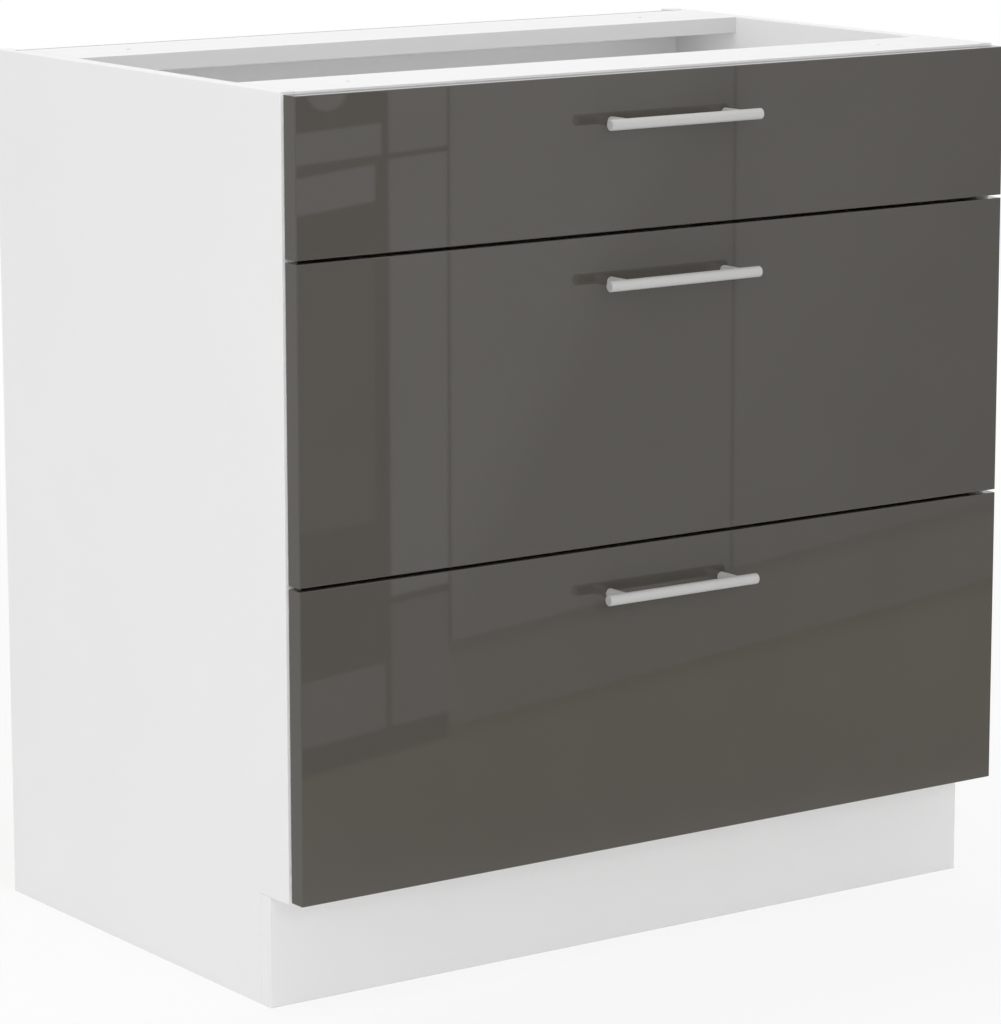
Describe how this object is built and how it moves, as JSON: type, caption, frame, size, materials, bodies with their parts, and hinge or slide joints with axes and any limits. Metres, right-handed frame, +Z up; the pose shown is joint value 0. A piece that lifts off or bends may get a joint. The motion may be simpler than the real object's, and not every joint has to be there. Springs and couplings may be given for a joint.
{
  "type": "kitchen drawer base unit",
  "caption": "Kitchen base unit: white board carcass open on top, set-back plinth, glossy dark grey drawer fronts with satin bar handles, steel-sided drawers on roller runners.",
  "frame": {"origin": "On the floor under the middle of the whole footprint, handles included", "axes": "X to the right seen from the front, Y towards the wall, Z up; the drawers open towards -Y"},
  "size_m": [0.8, 0.551, 0.82],
  "materials": {
    "carcass_board": "white melamine-faced chipboard, fine pearl texture",
    "back_board": "white lacquered hardboard",
    "drawer_board": "white melamine-faced chipboard",
    "front_lacquer": "high-gloss dark grey lacquer on fibreboard",
    "handle_metal": "satin, light grey",
    "runner_steel": "white epoxy powder coat",
    "roller_nylon": "natural nylon",
    "zinc_steel": "bright zinc plated",
    "cam_zinc": "die-cast zinc",
    "dowel_beech": "plain beech",
    "bumper_soft": "clear soft plastic"
  },
  "bodies": {
    "carcass": {"left_side_panel": "carcass_board", "right_side_panel": "carcass_board", "bottom_panel": "carcass_board", "front_top_rail": "carcass_board", "rear_top_rail": "carcass_board", "plinth_board": "carcass_board", "back_panel": "back_board", "cam_locks": "cam_zinc", "cam_bolts": "zinc_steel", "dowels": "dowel_beech", "runner_screws": "zinc_steel", "front_roller_axles": "zinc_steel", "top_runner_left": "runner_steel", "top_runner_right": "runner_steel", "middle_runner_left": "runner_steel", "middle_runner_right": "runner_steel", "bottom_runner_left": "runner_steel", "bottom_runner_right": "runner_steel"},
    "top_drawer": {"top_drawer_front": "front_lacquer", "top_drawer_handle_bar": "handle_metal", "top_drawer_handle_posts": "handle_metal", "top_drawer_handle_screws": "zinc_steel", "top_drawer_left_side": "runner_steel", "top_drawer_right_side": "runner_steel", "top_drawer_floor": "drawer_board", "top_drawer_back": "drawer_board", "top_drawer_front_brackets": "zinc_steel", "top_drawer_screws": "zinc_steel", "top_drawer_bumpers": "bumper_soft", "top_drawer_rear_roller_axles": "zinc_steel"},
    "top_rear_rollers": {"top_drawer_rear_rollers": "roller_nylon"},
    "top_front_rollers": {"top_drawer_front_rollers": "roller_nylon"},
    "middle_drawer": {"middle_drawer_front": "front_lacquer", "middle_drawer_handle_bar": "handle_metal", "middle_drawer_handle_posts": "handle_metal", "middle_drawer_handle_screws": "zinc_steel", "middle_drawer_left_side": "runner_steel", "middle_drawer_right_side": "runner_steel", "middle_drawer_floor": "drawer_board", "middle_drawer_back": "drawer_board", "middle_drawer_front_brackets": "zinc_steel", "middle_drawer_screws": "zinc_steel", "middle_drawer_bumpers": "bumper_soft", "middle_drawer_rear_roller_axles": "zinc_steel"},
    "middle_rear_rollers": {"middle_drawer_rear_rollers": "roller_nylon"},
    "middle_front_rollers": {"middle_drawer_front_rollers": "roller_nylon"},
    "bottom_drawer": {"bottom_drawer_front": "front_lacquer", "bottom_drawer_handle_bar": "handle_metal", "bottom_drawer_handle_posts": "handle_metal", "bottom_drawer_handle_screws": "zinc_steel", "bottom_drawer_left_side": "runner_steel", "bottom_drawer_right_side": "runner_steel", "bottom_drawer_floor": "drawer_board", "bottom_drawer_back": "drawer_board", "bottom_drawer_front_brackets": "zinc_steel", "bottom_drawer_screws": "zinc_steel", "bottom_drawer_bumpers": "bumper_soft", "bottom_drawer_rear_roller_axles": "zinc_steel"},
    "bottom_rear_rollers": {"bottom_drawer_rear_rollers": "roller_nylon"},
    "bottom_front_rollers": {"bottom_drawer_front_rollers": "roller_nylon"}
  },
  "joints": [
    {"name": "top_drawer_slide", "type": "slide", "parent": "carcass", "child": "top_drawer", "axis": [0, -1, 0], "range_m": [0, 0.34]},
    {"name": "top_front_rollers_turn", "type": "hinge", "parent": "carcass", "child": "top_front_rollers", "pos_m": [0, -0.2045, 0.7085], "axis": [1, 0, 0], "continuous": true},
    {"name": "top_rear_rollers_turn", "type": "hinge", "parent": "top_drawer", "child": "top_rear_rollers", "pos_m": [0, 0.214, 0.7085], "axis": [1, 0, 0], "continuous": true},
    {"name": "middle_drawer_slide", "type": "slide", "parent": "carcass", "child": "middle_drawer", "axis": [0, -1, 0], "range_m": [0, 0.34]},
    {"name": "middle_front_rollers_turn", "type": "hinge", "parent": "carcass", "child": "middle_front_rollers", "pos_m": [0, -0.2045, 0.4225], "axis": [1, 0, 0], "continuous": true},
    {"name": "middle_rear_rollers_turn", "type": "hinge", "parent": "middle_drawer", "child": "middle_rear_rollers", "pos_m": [0, 0.214, 0.4225], "axis": [1, 0, 0], "continuous": true},
    {"name": "bottom_drawer_slide", "type": "slide", "parent": "carcass", "child": "bottom_drawer", "axis": [0, -1, 0], "range_m": [0, 0.34]},
    {"name": "bottom_front_rollers_turn", "type": "hinge", "parent": "carcass", "child": "bottom_front_rollers", "pos_m": [0, -0.2045, 0.1365], "axis": [1, 0, 0], "continuous": true},
    {"name": "bottom_rear_rollers_turn", "type": "hinge", "parent": "bottom_drawer", "child": "bottom_rear_rollers", "pos_m": [0, 0.214, 0.1365], "axis": [1, 0, 0], "continuous": true}
  ],
  "couplings": [
    {"joint": "top_front_rollers_turn", "follows": "top_drawer_slide", "rad_per_m": 100},
    {"joint": "top_rear_rollers_turn", "follows": "top_drawer_slide", "rad_per_m": 100},
    {"joint": "middle_front_rollers_turn", "follows": "middle_drawer_slide", "rad_per_m": 100},
    {"joint": "middle_rear_rollers_turn", "follows": "middle_drawer_slide", "rad_per_m": 100},
    {"joint": "bottom_front_rollers_turn", "follows": "bottom_drawer_slide", "rad_per_m": 100},
    {"joint": "bottom_rear_rollers_turn", "follows": "bottom_drawer_slide", "rad_per_m": 100}
  ]
}
